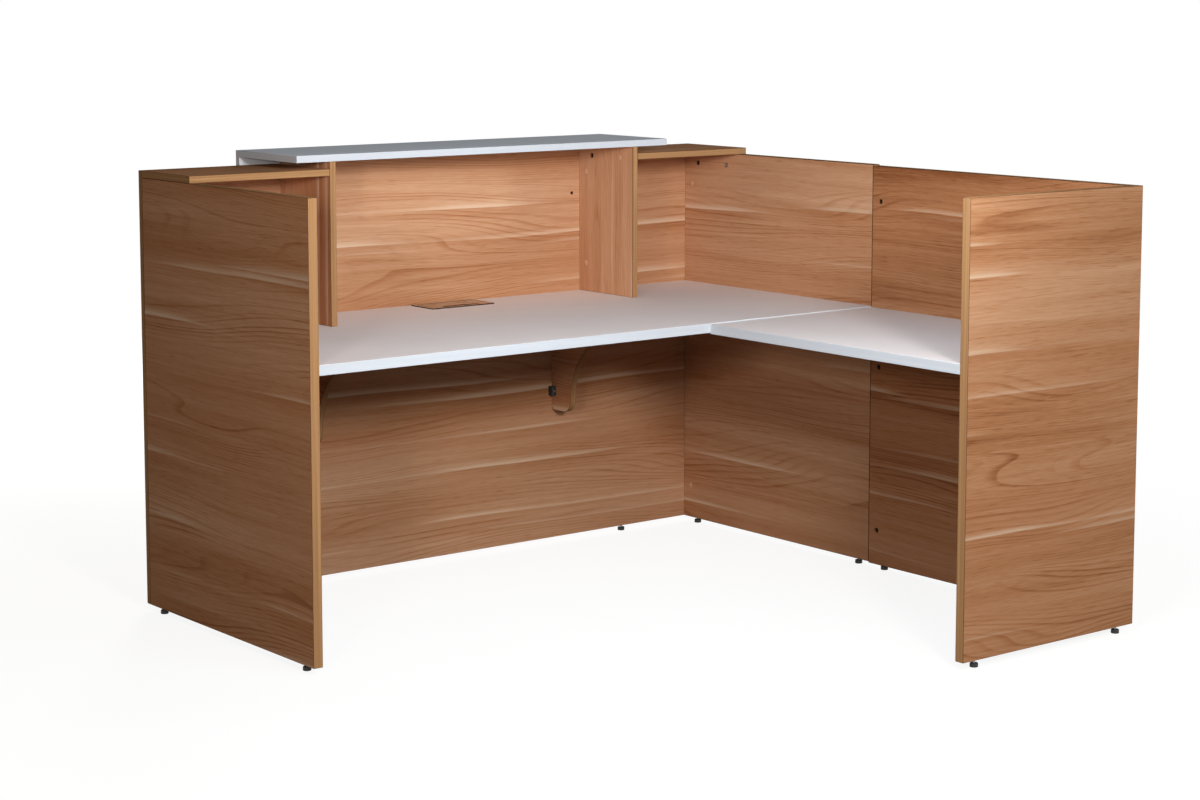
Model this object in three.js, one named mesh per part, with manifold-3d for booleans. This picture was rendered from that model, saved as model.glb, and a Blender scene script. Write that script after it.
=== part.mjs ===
// An L-shaped reception desk of laminated boards on levelling feet, in millimetres with +Z up.
// X runs along the front panel from its left end, and the staff sit on the -Y side of it.
import * as THREE from 'three';
import { mergeVertices } from 'three/addons/utils/BufferGeometryUtils.js';
import Module from 'manifold-3d';

const wasm = await Module();
wasm.setup();

// Board thicknesses
const SIDE_THICKNESS = 25;
const FRONT_THICKNESS = 18;
const WORKTOP_THICKNESS = 25;
const LEDGE_THICKNESS = 18;
const DIVIDER_THICKNESS = 18;
const COUNTER_THICKNESS = 18;
const FASCIA_THICKNESS = 18;
const BATTEN_THICKNESS = 18;

// Main unit
const DESK_WIDTH = 1800;
const MAIN_DEPTH = 800;
const SIDE_HEIGHT = 1088;
const WORKTOP_HEIGHT = 720;
const FLOOR_GAP = 15;

// Return unit, which stands a little lower than the main unit
const RETURN_WIDTH = 600;
const RETURN_LENGTH = 900;
const RETURN_STEP = 3;
const END_PANEL_RAISE = 6;

// Ledges, dividers, counter and the fascia under its customer edge
const LEDGE_WIDTH = 400;
const LEDGE_DEPTH = 240;
const COUNTER_LIFT = 19;
const COUNTER_SIDE_OVERHANG = 100;
const COUNTER_STAFF_OVERHANG = 6;
const FASCIA_DROP = 420;
const BATTEN_WIDTH = 60;
const BATTEN_INSET = 115;
const BATTEN_END_GAP = 25;

// Curved gusset brackets under the main worktop, and the blocks that hold them
const BRACKET_THICKNESS = 18;
const BRACKET_HEIGHT = 310;
const BRACKET_DEPTH = 310;
const BRACKET_STEM = 88;
const BRACKET_ARM = 70;
const BRACKET_TOE_RADIUS = 35;
const BRACKET_HEEL_RADIUS = 15;
const BRACKET_TIP_RADIUS = 12;
const BRACKET_LEFT_INSET = 447;
const BRACKET_RIGHT_INSET = 500;
const BLOCK_WIDTH = 12;
const BLOCK_REACH = 20;
const BLOCK_LENGTH = 26;
const BLOCK_CHAMFER = 4;
const BLOCK_STEM_HEIGHT = 42;
const BLOCK_ARM_REACH = 220;

// Plates that join the two worktops from below
const PLATE_THICKNESS = 3;
const PLATE_WIDTH = 40;
const PLATE_LENGTH = 120;
const PLATE_BEND = 8;
const PLATE_INSET = 100;

// Cam fittings let into the boards, and the screw holes for the battens
const CAM_RADIUS = 7.5;
const CAM_DEPTH = 13;
const CAM_EDGE_INSET = 30;
const CAM_TOP_INSET = 34;
const CAM_SIDE_INSET = 95;
const CAM_DIVIDER_INSET = 80;
const CAM_LEDGE_INSET = 58;
const CAM_WORKTOP_INSET = 120;
const SCREW_HOLE_RADIUS = 5;
const SCREW_HOLE_DEPTH = 8;
const SCREW_HOLE_DROP = 123;

// Cable flap: a frame let into the worktop, and a lid on two pivot pins
const FLAP_FLANGE_WIDTH = 206;
const FLAP_FLANGE_DEPTH = 106;
const FLAP_FLANGE_THICKNESS = 3;
const FLAP_FLANGE_LAP = 8;
const FLAP_CORNER_RADIUS = 6;
const FLAP_SLEEVE_LENGTH = 20;
const FLAP_WALL = 4;
const FLAP_LIP = 4;
const FLAP_PANEL_GAP = 8;
const FLAP_CUTOUT_CLEARANCE = 0.5;
const LID_CLEARANCE = 0.5;
const LID_SEAT_GAP = 0.3;
const LID_NOTCH_WIDTH = 120;
const LID_NOTCH_DEPTH = 12;
const BARREL_RADIUS = 3;
const PIVOT_RADIUS = 1.5;
const PIVOT_LENGTH = 10;
const PIVOT_HOLD = 6.5;
const PIVOT_CLEARANCE = 0.1;
const PIVOT_END_PLAY = 0.3;

// Levelling feet: a pad moulded on a stud that runs in an insert
const PAD_RADIUS = 10;
const PAD_HEIGHT = 10;
const PAD_FLOOR = 3;
const PAD_SHOULDER = 3;
const PAD_TOE = 1;
const STUD_RADIUS = 3;
const STUD_ENGAGEMENT = 22;
const STUD_CHAMFER = 1;
const INSERT_RADIUS = 5;
const INSERT_LENGTH = 18;
const INSERT_RELIEF = 20;
const THREAD_CLEARANCE = 0.1;
const FOOT_INSET = 50;
const FRONT_FOOT_INSET = 258;

// Facets of round work
const BORE_SIDES = 16;
const FOOT_SIDES = 20;
const ARC_STEPS = 12;
const CORNER_STEPS = 4;
const CUT_LEAD = 1;

// Levels and lines that several pieces share
const SIDE_TOP = FLOOR_GAP + SIDE_HEIGHT;
const LEDGE_TOP = SIDE_TOP + LEDGE_THICKNESS;
const COUNTER_UNDERSIDE = LEDGE_TOP + COUNTER_LIFT;
const WORKTOP_UNDERSIDE = WORKTOP_HEIGHT - WORKTOP_THICKNESS;
const PANEL_FACE = -FRONT_THICKNESS;
const STAFF_EDGE = -MAIN_DEPTH;
const RIGHT_FACE = DESK_WIDTH - SIDE_THICKNESS;
const LEDGE_EDGE = PANEL_FACE - LEDGE_DEPTH;
const RIGHT_LEDGE_END = DESK_WIDTH - LEDGE_WIDTH;
const RETURN_LEFT = DESK_WIDTH - RETURN_WIDTH;
const RETURN_END = STAFF_EDGE - RETURN_LENGTH;
const END_PANEL_FACE = RETURN_END + SIDE_THICKNESS;
const FASCIA_FACE = BATTEN_THICKNESS + FASCIA_THICKNESS;
const COUNTER_LEFT = LEDGE_WIDTH - COUNTER_SIDE_OVERHANG;
const COUNTER_RIGHT = RIGHT_LEDGE_END + COUNTER_SIDE_OVERHANG;
const FASCIA_BOTTOM = COUNTER_UNDERSIDE - FASCIA_DROP;

const walnut = new THREE.MeshStandardMaterial({ color: 0x8d6549, roughness: 0.5, metalness: 0 });
const white = new THREE.MeshStandardMaterial({ color: 0xeef0f2, roughness: 0.35, metalness: 0 });
const blackPlastic = new THREE.MeshStandardMaterial({ color: 0x1a1a1b, roughness: 0.6, metalness: 0 });
const steel = new THREE.MeshStandardMaterial({ color: 0xb9bbbd, roughness: 0.25, metalness: 1 });
const zinc = new THREE.MeshStandardMaterial({ color: 0xa3a5a6, roughness: 0.45, metalness: 1 });

// Merges a geometry's shared corners and drops the triangles that collapse on an axis.
function weld(geometry) {
  const bare = geometry.clone();
  bare.deleteAttribute('normal');
  bare.deleteAttribute('uv');
  const merged = mergeVertices(bare);
  const corners = merged.index.array;
  const kept = [];
  for (let at = 0; at < corners.length; at += 3) {
    const [a, b, c] = corners.slice(at, at + 3);
    if (a !== b && b !== c && c !== a) kept.push(a, b, c);
  }
  merged.setIndex(kept);
  return merged;
}

function toSolid(geometry) {
  const closed = weld(geometry);
  return new wasm.Manifold(new wasm.Mesh({
    numProp: 3,
    vertProperties: new Float32Array(closed.attributes.position.array),
    triVerts: new Uint32Array(closed.index.array),
  }));
}

function toGeometry(solid) {
  const mesh = solid.getMesh();
  const geometry = new THREE.BufferGeometry();
  geometry.setAttribute('position', new THREE.BufferAttribute(new Float32Array(mesh.vertProperties), 3));
  geometry.setIndex(new THREE.BufferAttribute(new Uint32Array(mesh.triVerts), 1));
  const faceted = geometry.toNonIndexed();
  faceted.computeVertexNormals();
  return faceted;
}

// Joins the first list of geometries and cuts the second list from it.
function shaped(joined, cuts = []) {
  const [first, ...others] = joined.map(toSolid);
  const whole = others.reduce((sum, solid) => sum.add(solid), first);
  return toGeometry(cuts.map(toSolid).reduce((rest, solid) => rest.subtract(solid), whole));
}

function piece(parent, name, geometry, material, place = [0, 0, 0]) {
  const mesh = new THREE.Mesh(geometry, material);
  mesh.name = name;
  mesh.position.set(...place);
  parent.add(mesh);
  return mesh;
}

// A block between two opposite corners.
function block(low, high) {
  const size = high.map((value, axis) => value - low[axis]);
  const middle = high.map((value, axis) => (value + low[axis]) / 2);
  return new THREE.BoxGeometry(...size).translate(...middle);
}

// A board between two opposite corners, less its bores, placed at its low corner.
function board(parent, name, material, low, high, bores = []) {
  const geometry = shaped([block(low, high)], bores);
  geometry.translate(...low.map((value) => -value));
  return piece(parent, name, geometry, material, low);
}

// A round bore: the middle of its mouth, the way in, its radius and its depth.
function bore(mouth, inward, radius, depth) {
  const cutter = new THREE.CylinderGeometry(radius, radius, depth + CUT_LEAD, BORE_SIDES);
  cutter.translate(0, (depth - CUT_LEAD) / 2, 0);
  const turn = new THREE.Quaternion();
  turn.setFromUnitVectors(new THREE.Vector3(0, 1, 0), new THREE.Vector3(...inward));
  return cutter.applyQuaternion(turn).translate(...mouth);
}

const camBore = (mouth, inward) => bore(mouth, inward, CAM_RADIUS, CAM_DEPTH);

// Both ends of a span, drawn in by an inset.
const inset = (from, to, by) => [from + by, to - by];

// Both ends of a span, drawn in by an inset, and its middle.
const thirds = (from, to, by) => [from + by, (from + to) / 2, to - by];

// The stepped hole in a board's lower edge for an insert and the stud above it.
function insertHole([x, y], boardBottom) {
  const mouth = [x, y, boardBottom];
  const up = [0, 0, 1];
  return [
    bore(mouth, up, INSERT_RADIUS + THREAD_CLEARANCE, INSERT_LENGTH),
    bore(mouth, up, STUD_RADIUS + 2 * THREAD_CLEARANCE, INSERT_LENGTH + INSERT_RELIEF),
  ];
}

// A flat outline with round corners, centred on the origin.
function roundedRectangle(width, depth, radius) {
  const x = width / 2;
  const y = depth / 2;
  const outline = new THREE.Shape();
  outline.moveTo(radius - x, -y);
  outline.absarc(x - radius, radius - y, radius, -Math.PI / 2, 0);
  outline.absarc(x - radius, y - radius, radius, 0, Math.PI / 2);
  outline.absarc(radius - x, y - radius, radius, Math.PI / 2, Math.PI);
  outline.absarc(radius - x, radius - y, radius, Math.PI, 1.5 * Math.PI);
  return outline;
}

// An outline drawn up from one level to another.
function slab(outline, from, to) {
  const options = { depth: to - from, bevelEnabled: false, curveSegments: CORNER_STEPS };
  return new THREE.ExtrudeGeometry(outline, options).translate(0, 0, from);
}

// An outline of (reach from the front panel, height), given its thickness towards -X.
function upright(outline, thickness) {
  const options = { depth: thickness, bevelEnabled: false, curveSegments: ARC_STEPS };
  const turn = new THREE.Matrix4().makeBasis(
    new THREE.Vector3(0, -1, 0),
    new THREE.Vector3(0, 0, 1),
    new THREE.Vector3(-1, 0, 0),
  );
  return new THREE.ExtrudeGeometry(outline, options).applyMatrix4(turn);
}

// Where each levelling foot stands: its board's lower edge, and its place under it.
const SIDE_MIDDLE = SIDE_THICKNESS / 2;
const RIGHT_MIDDLE = DESK_WIDTH - SIDE_MIDDLE;
const [SIDE_FOOT_STAFF, SIDE_FOOT_PANEL] = inset(STAFF_EDGE, PANEL_FACE, FOOT_INSET);
const [RETURN_FOOT_END, RETURN_FOOT_SEAM] = inset(END_PANEL_FACE, STAFF_EDGE, FOOT_INSET);
const [END_FOOT_LEFT, END_FOOT_RIGHT] = inset(RETURN_LEFT, DESK_WIDTH, FOOT_INSET);
const [FRONT_FOOT_LEFT, FRONT_FOOT_RIGHT] = inset(0, DESK_WIDTH, FRONT_FOOT_INSET);
const RETURN_FLOOR_GAP = FLOOR_GAP - RETURN_STEP;
const END_FLOOR_GAP = RETURN_FLOOR_GAP + END_PANEL_RAISE;
const FEET = {
  left_side_staff: { at: [SIDE_MIDDLE, SIDE_FOOT_STAFF], under: FLOOR_GAP },
  left_side_panel: { at: [SIDE_MIDDLE, SIDE_FOOT_PANEL], under: FLOOR_GAP },
  front_left: { at: [FRONT_FOOT_LEFT, PANEL_FACE / 2], under: FLOOR_GAP },
  front_right: { at: [FRONT_FOOT_RIGHT, PANEL_FACE / 2], under: FLOOR_GAP },
  corner_side_panel: { at: [RIGHT_MIDDLE, SIDE_FOOT_PANEL], under: FLOOR_GAP },
  corner_side_seam: { at: [RIGHT_MIDDLE, SIDE_FOOT_STAFF], under: FLOOR_GAP },
  return_side_seam: { at: [RIGHT_MIDDLE, RETURN_FOOT_SEAM], under: RETURN_FLOOR_GAP },
  return_side_end: { at: [RIGHT_MIDDLE, RETURN_FOOT_END], under: RETURN_FLOOR_GAP },
  return_end_left: { at: [END_FOOT_LEFT, END_PANEL_FACE - SIDE_MIDDLE], under: END_FLOOR_GAP },
  return_end_right: { at: [END_FOOT_RIGHT, END_PANEL_FACE - SIDE_MIDDLE], under: END_FLOOR_GAP },
};
const footHoles = (...names) => names.flatMap((name) => insertHole(FEET[name].at, FEET[name].under));

// The main unit's side panels are a pair, each with its cam bores on the inner face.
function sidePanel(parent, name, low, innerFace, inward, feet) {
  const panelLine = PANEL_FACE - CAM_EDGE_INSET;
  const toPanel = thirds(FLOOR_GAP, SIDE_TOP, CAM_SIDE_INSET)
    .map((z) => camBore([innerFace, panelLine, z], inward));
  const toLedge = inset(LEDGE_EDGE, PANEL_FACE, CAM_LEDGE_INSET)
    .map((y) => camBore([innerFace, y, SIDE_TOP - CAM_TOP_INSET], inward));
  const high = [low + SIDE_THICKNESS, PANEL_FACE, SIDE_TOP];
  board(parent, name, walnut, [low, STAFF_EDGE, FLOOR_GAP], high,
    [...toPanel, ...toLedge, ...footHoles(...feet)]);
}

function frontPanel(parent) {
  const battenLines = inset(COUNTER_LEFT, COUNTER_RIGHT, BATTEN_INSET + BATTEN_WIDTH / 2);
  const screwHoles = battenLines.map((x) => (
    bore([x, PANEL_FACE, LEDGE_TOP - SCREW_HOLE_DROP], [0, 1, 0], SCREW_HOLE_RADIUS, SCREW_HOLE_DEPTH)
  ));
  board(parent, 'front_panel', walnut, [0, PANEL_FACE, FLOOR_GAP], [DESK_WIDTH, 0, LEDGE_TOP],
    [...screwHoles, ...footHoles('front_left', 'front_right')]);
}

// The flap's middle line on the worktop, and the size of its sleeve.
const FLAP_MIDDLE = [DESK_WIDTH / 2, PANEL_FACE - FLAP_PANEL_GAP - FLAP_FLANGE_DEPTH / 2];
const SLEEVE_WIDTH = FLAP_FLANGE_WIDTH - 2 * FLAP_FLANGE_LAP;
const SLEEVE_DEPTH = FLAP_FLANGE_DEPTH - 2 * FLAP_FLANGE_LAP;

function mainWorktop(parent) {
  const upward = [0, 0, 1];
  const sideCams = inset(SIDE_THICKNESS, RIGHT_FACE, CAM_TOP_INSET).flatMap((x) => (
    thirds(STAFF_EDGE, PANEL_FACE, CAM_WORKTOP_INSET)
      .map((y) => camBore([x, y, WORKTOP_UNDERSIDE], upward))
  ));
  const room = 2 * FLAP_CUTOUT_CLEARANCE;
  const outline = roundedRectangle(SLEEVE_WIDTH + room, SLEEVE_DEPTH + room, FLAP_CORNER_RADIUS);
  const cutout = slab(outline, WORKTOP_UNDERSIDE - CUT_LEAD, WORKTOP_HEIGHT + CUT_LEAD);
  cutout.translate(...FLAP_MIDDLE, 0);
  board(parent, 'main_worktop', white, [SIDE_THICKNESS, STAFF_EDGE, WORKTOP_UNDERSIDE],
    [RIGHT_FACE, PANEL_FACE, WORKTOP_HEIGHT], [...sideCams, cutout]);
}

// A gusset under the worktop: a stem on the front panel, an arm under the top, a hollow curve between.
function bracketOutline() {
  const armEnd = BRACKET_DEPTH - BRACKET_TIP_RADIUS;
  const armLine = BRACKET_HEIGHT - BRACKET_ARM;
  const toeMiddle = BRACKET_STEM - BRACKET_TOE_RADIUS;
  const outline = new THREE.Shape();
  outline.moveTo(0, BRACKET_HEEL_RADIUS);
  outline.absarc(BRACKET_HEEL_RADIUS, BRACKET_HEEL_RADIUS, BRACKET_HEEL_RADIUS, Math.PI, 1.5 * Math.PI);
  outline.absarc(toeMiddle, BRACKET_TOE_RADIUS, BRACKET_TOE_RADIUS, -Math.PI / 2, 0);
  outline.absellipse(armEnd, BRACKET_TOE_RADIUS, armEnd - BRACKET_STEM, armLine - BRACKET_TOE_RADIUS,
    Math.PI, Math.PI / 2, true);
  outline.absarc(armEnd, armLine + BRACKET_TIP_RADIUS, BRACKET_TIP_RADIUS, -Math.PI / 2, 0);
  outline.lineTo(BRACKET_DEPTH, BRACKET_HEIGHT);
  outline.lineTo(0, BRACKET_HEIGHT);
  return outline;
}

// A corner block's section, with its free corner taken off.
function blockOutline(width, reach) {
  const outline = new THREE.Shape();
  outline.moveTo(0, 0);
  outline.lineTo(width, 0);
  outline.lineTo(width, reach - BLOCK_CHAMFER);
  outline.lineTo(width - BLOCK_CHAMFER, reach);
  outline.lineTo(0, reach);
  return outline;
}

// A bracket with a block on its left face at the panel, and another at the worktop.
function bracket(parent, side, leftFace) {
  const group = new THREE.Group();
  group.position.set(leftFace, PANEL_FACE, WORKTOP_UNDERSIDE - BRACKET_HEIGHT);
  parent.add(group);
  piece(group, `worktop_bracket_${side}`, upright(bracketOutline(), BRACKET_THICKNESS), walnut,
    [BRACKET_THICKNESS, 0, 0]);
  const section = slab(blockOutline(BLOCK_WIDTH, BLOCK_REACH), 0, BLOCK_LENGTH);
  const atPanel = section.clone().rotateZ(Math.PI);
  piece(group, `panel_block_${side}`, atPanel, blackPlastic, [0, 0, BLOCK_STEM_HEIGHT]);
  const atWorktop = section.clone().rotateZ(Math.PI).rotateX(Math.PI / 2);
  piece(group, `worktop_block_${side}`, atWorktop, blackPlastic, [0, -BLOCK_ARM_REACH, BRACKET_HEIGHT]);
}

// A plate under the seam, cranked down to the lower worktop.
function joiningPlate(parent, side, left) {
  const half = PLATE_LENGTH / 2;
  const outline = new THREE.Shape();
  outline.moveTo(-half, 0);
  outline.lineTo(-half, -PLATE_THICKNESS);
  outline.lineTo(-PLATE_BEND, -PLATE_THICKNESS);
  outline.lineTo(0, -PLATE_THICKNESS - RETURN_STEP);
  outline.lineTo(half, -PLATE_THICKNESS - RETURN_STEP);
  outline.lineTo(half, -RETURN_STEP);
  outline.lineTo(0, -RETURN_STEP);
  outline.lineTo(-PLATE_BEND, 0);
  piece(parent, `joining_plate_${side}`, upright(outline, PLATE_WIDTH), zinc,
    [left + PLATE_WIDTH, STAFF_EDGE, WORKTOP_UNDERSIDE]);
}

// The return unit's boards, drawn at the main unit's level and lowered together by the step.
function returnUnit(parent) {
  const group = new THREE.Group();
  group.position.set(0, 0, -RETURN_STEP);
  parent.add(group);
  const holes = (...names) => footHoles(...names).map((hole) => hole.translate(0, 0, RETURN_STEP));
  const rows = thirds(FLOOR_GAP, SIDE_TOP, CAM_SIDE_INSET);
  const sideCams = inset(END_PANEL_FACE, STAFF_EDGE, CAM_EDGE_INSET)
    .flatMap((y) => rows.map((z) => camBore([RIGHT_FACE, y, z], [1, 0, 0])));
  board(group, 'return_side_panel', walnut, [RIGHT_FACE, END_PANEL_FACE, FLOOR_GAP],
    [DESK_WIDTH, STAFF_EDGE, SIDE_TOP], [...sideCams, ...holes('return_side_seam', 'return_side_end')]);
  board(group, 'return_end_panel', walnut, [RETURN_LEFT, RETURN_END, FLOOR_GAP + END_PANEL_RAISE],
    [DESK_WIDTH, END_PANEL_FACE, SIDE_TOP], holes('return_end_left', 'return_end_right'));
  const sideLine = RIGHT_FACE - CAM_TOP_INSET;
  const toSide = thirds(END_PANEL_FACE, STAFF_EDGE, CAM_WORKTOP_INSET).map((y) => [sideLine, y]);
  const endLine = END_PANEL_FACE + CAM_TOP_INSET;
  const toEnd = inset(RETURN_LEFT, RIGHT_FACE, CAM_WORKTOP_INSET).map((x) => [x, endLine]);
  const worktopCams = [...toSide, ...toEnd].map((at) => camBore([...at, WORKTOP_UNDERSIDE], [0, 0, 1]));
  board(group, 'return_worktop', white, [RETURN_LEFT, END_PANEL_FACE, WORKTOP_UNDERSIDE],
    [RIGHT_FACE, STAFF_EDGE, WORKTOP_HEIGHT], worktopCams);
}

// A divider stands on the worktop, with its cam bores on the face towards the middle.
function divider(parent, name, left, innerFace, inward) {
  const panelLine = PANEL_FACE - CAM_EDGE_INSET;
  const toPanel = inset(WORKTOP_HEIGHT, COUNTER_UNDERSIDE, CAM_DIVIDER_INSET)
    .map((z) => camBore([innerFace, panelLine, z], inward));
  const toCounter = inset(LEDGE_EDGE, PANEL_FACE, CAM_LEDGE_INSET)
    .map((y) => camBore([innerFace, y, COUNTER_UNDERSIDE - CAM_TOP_INSET], inward));
  board(parent, name, walnut, [left, LEDGE_EDGE, WORKTOP_HEIGHT],
    [left + DIVIDER_THICKNESS, PANEL_FACE, COUNTER_UNDERSIDE], [...toPanel, ...toCounter]);
}

// Ledges, dividers, counter, and the fascia on its battens.
function counterUnit(parent) {
  board(parent, 'left_ledge', walnut, [0, LEDGE_EDGE, SIDE_TOP], [LEDGE_WIDTH, PANEL_FACE, LEDGE_TOP]);
  board(parent, 'right_ledge', walnut, [RIGHT_LEDGE_END, LEDGE_EDGE, SIDE_TOP],
    [DESK_WIDTH, PANEL_FACE, LEDGE_TOP]);
  const rightInner = RIGHT_LEDGE_END - DIVIDER_THICKNESS;
  divider(parent, 'left_divider', LEDGE_WIDTH, LEDGE_WIDTH + DIVIDER_THICKNESS, [-1, 0, 0]);
  divider(parent, 'right_divider', rightInner, rightInner, [1, 0, 0]);
  const counterEdge = LEDGE_EDGE - COUNTER_STAFF_OVERHANG;
  board(parent, 'transaction_counter', white, [COUNTER_LEFT, counterEdge, COUNTER_UNDERSIDE],
    [COUNTER_RIGHT, FASCIA_FACE, COUNTER_UNDERSIDE + COUNTER_THICKNESS]);
  board(parent, 'front_fascia', white, [COUNTER_LEFT, BATTEN_THICKNESS, FASCIA_BOTTOM],
    [COUNTER_RIGHT, FASCIA_FACE, COUNTER_UNDERSIDE]);
  const battens = {
    left: COUNTER_LEFT + BATTEN_INSET,
    right: COUNTER_RIGHT - BATTEN_INSET - BATTEN_WIDTH,
  };
  for (const [side, x] of Object.entries(battens)) {
    board(parent, `fascia_batten_${side}`, walnut, [x, 0, FASCIA_BOTTOM + BATTEN_END_GAP],
      [x + BATTEN_WIDTH, BATTEN_THICKNESS, LEDGE_TOP - BATTEN_END_GAP]);
  }
}

// The cable flap, in a group whose origin is its middle on the worktop's top face.
function cableFlap(parent) {
  const group = new THREE.Group();
  group.position.set(...FLAP_MIDDLE, WORKTOP_HEIGHT);
  parent.add(group);

  const seatWidth = SLEEVE_WIDTH - 2 * FLAP_WALL;
  const seatDepth = SLEEVE_DEPTH - 2 * FLAP_WALL;
  const farEdge = seatDepth / 2;
  const nearEdge = -farEdge;
  const axisLine = farEdge - LID_CLEARANCE - BARREL_RADIUS;
  const axisLevel = FLAP_FLANGE_THICKNESS - BARREL_RADIUS;
  const grooveNear = axisLine - BARREL_RADIUS - LID_CLEARANCE;
  const lidHalf = seatWidth / 2 - LID_CLEARANCE;
  const socketDepth = PIVOT_LENGTH - PIVOT_HOLD - LID_CLEARANCE + PIVOT_END_PLAY;
  const above = FLAP_FLANGE_THICKNESS + CUT_LEAD;
  const below = -FLAP_SLEEVE_LENGTH - CUT_LEAD;

  const flange = slab(roundedRectangle(FLAP_FLANGE_WIDTH, FLAP_FLANGE_DEPTH, FLAP_CORNER_RADIUS),
    0, FLAP_FLANGE_THICKNESS);
  const sleeve = slab(roundedRectangle(SLEEVE_WIDTH, SLEEVE_DEPTH, FLAP_CORNER_RADIUS),
    -FLAP_SLEEVE_LENGTH, FLAP_FLANGE_THICKNESS / 2);
  const seat = block([-seatWidth / 2, nearEdge, -LID_SEAT_GAP], [seatWidth / 2, farEdge, above]);
  const groove = block([-seatWidth / 2, grooveNear, axisLevel - BARREL_RADIUS - LID_CLEARANCE],
    [seatWidth / 2, farEdge, above]);
  const opening = block([FLAP_LIP - seatWidth / 2, nearEdge + FLAP_LIP, below],
    [seatWidth / 2 - FLAP_LIP, grooveNear - FLAP_LIP, above]);
  const sockets = [-1, 1].map((end) => bore([end * seatWidth / 2, axisLine, axisLevel], [end, 0, 0],
    PIVOT_RADIUS + PIVOT_CLEARANCE, socketDepth));
  piece(group, 'cable_flap_frame', shaped([flange, sleeve], [seat, groove, opening, ...sockets]), steel);

  // The lid's plate has a notch in its near edge, for cables and a finger.
  const lidNear = nearEdge + LID_CLEARANCE - axisLine;
  const notchEnd = LID_NOTCH_WIDTH / 2 - LID_NOTCH_DEPTH;
  const outline = new THREE.Shape();
  outline.moveTo(-lidHalf, lidNear);
  outline.lineTo(-LID_NOTCH_WIDTH / 2, lidNear);
  outline.absarc(-notchEnd, lidNear, LID_NOTCH_DEPTH, Math.PI, Math.PI / 2, true);
  outline.absarc(notchEnd, lidNear, LID_NOTCH_DEPTH, Math.PI / 2, 0, true);
  outline.lineTo(lidHalf, lidNear);
  outline.lineTo(lidHalf, 0);
  outline.lineTo(-lidHalf, 0);
  const plate = slab(outline, -axisLevel, FLAP_FLANGE_THICKNESS - axisLevel);
  const barrel = new THREE.CylinderGeometry(BARREL_RADIUS, BARREL_RADIUS, 2 * lidHalf, BORE_SIDES);
  barrel.rotateZ(Math.PI / 2);
  const pivotHoles = [-1, 1].map((end) => bore([end * lidHalf, 0, 0], [-end, 0, 0],
    PIVOT_RADIUS + PIVOT_CLEARANCE, PIVOT_HOLD));
  const lid = new THREE.Group();
  lid.position.set(0, axisLine, axisLevel);
  group.add(lid);
  piece(lid, 'cable_flap_lid', shaped([plate, barrel], pivotHoles), steel);
  for (const [side, end] of [['left', -1], ['right', 1]]) {
    const pin = new THREE.CylinderGeometry(PIVOT_RADIUS, PIVOT_RADIUS, PIVOT_LENGTH, BORE_SIDES);
    pin.rotateZ(Math.PI / 2);
    piece(lid, `cable_flap_pivot_${side}`, weld(pin), zinc,
      [end * (lidHalf - PIVOT_HOLD + PIVOT_LENGTH / 2), 0, 0]);
  }
}

// A levelling foot: the pad on the floor, the stud seated in it, and the insert in the board above.
function levellingFoot(parent, name, { at, under }) {
  const group = new THREE.Group();
  group.position.set(...at, 0);
  parent.add(group);
  const point = (radius, height) => new THREE.Vector2(radius, height);
  const revolve = (points) => {
    const turned = new THREE.LatheGeometry(points, FOOT_SIDES);
    return weld(turned.rotateX(Math.PI / 2));
  };
  const shoulder = PAD_HEIGHT - PAD_SHOULDER;
  const pad = revolve([
    point(0, 0),
    point(PAD_RADIUS - PAD_TOE, 0),
    point(PAD_RADIUS, PAD_TOE),
    point(PAD_RADIUS, shoulder),
    point(PAD_RADIUS - PAD_SHOULDER * (1 - Math.SQRT1_2), shoulder + PAD_SHOULDER * Math.SQRT1_2),
    point(PAD_RADIUS - PAD_SHOULDER, PAD_HEIGHT),
    point(STUD_RADIUS + THREAD_CLEARANCE, PAD_HEIGHT),
    point(STUD_RADIUS + THREAD_CLEARANCE, PAD_FLOOR),
    point(0, PAD_FLOOR),
  ]);
  piece(group, `foot_pad_${name}`, pad, blackPlastic);
  const studLength = FLOOR_GAP - PAD_FLOOR + STUD_ENGAGEMENT;
  const stud = revolve([
    point(0, 0),
    point(STUD_RADIUS, 0),
    point(STUD_RADIUS, studLength - STUD_CHAMFER),
    point(STUD_RADIUS - STUD_CHAMFER, studLength),
    point(0, studLength),
  ]);
  piece(group, `foot_stud_${name}`, stud, zinc, [0, 0, PAD_FLOOR]);
  const insertBore = STUD_RADIUS + THREAD_CLEARANCE;
  const insert = revolve([
    point(insertBore, 0),
    point(INSERT_RADIUS, 0),
    point(INSERT_RADIUS, INSERT_LENGTH),
    point(insertBore, INSERT_LENGTH),
    point(insertBore, 0),
  ]);
  piece(group, `foot_insert_${name}`, insert, zinc, [0, 0, under]);
}

// The whole desk, about the middle of its floor area.
const desk = new THREE.Group();
desk.name = 'reception_desk';
desk.position.set(-DESK_WIDTH / 2, -(RETURN_END + FASCIA_FACE) / 2, 0);
frontPanel(desk);
sidePanel(desk, 'left_side_panel', 0, SIDE_THICKNESS, [-1, 0, 0],
  ['left_side_staff', 'left_side_panel']);
sidePanel(desk, 'corner_side_panel', RIGHT_FACE, RIGHT_FACE, [1, 0, 0],
  ['corner_side_panel', 'corner_side_seam']);
mainWorktop(desk);
bracket(desk, 'left', BRACKET_LEFT_INSET);
bracket(desk, 'right', DESK_WIDTH - BRACKET_RIGHT_INSET - BRACKET_THICKNESS);
returnUnit(desk);
joiningPlate(desk, 'left', RETURN_LEFT + PLATE_INSET);
joiningPlate(desk, 'right', RIGHT_FACE - PLATE_INSET - PLATE_WIDTH);
counterUnit(desk);
cableFlap(desk);
for (const [name, foot] of Object.entries(FEET)) levellingFoot(desk, name, foot);

export default desk;
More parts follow.
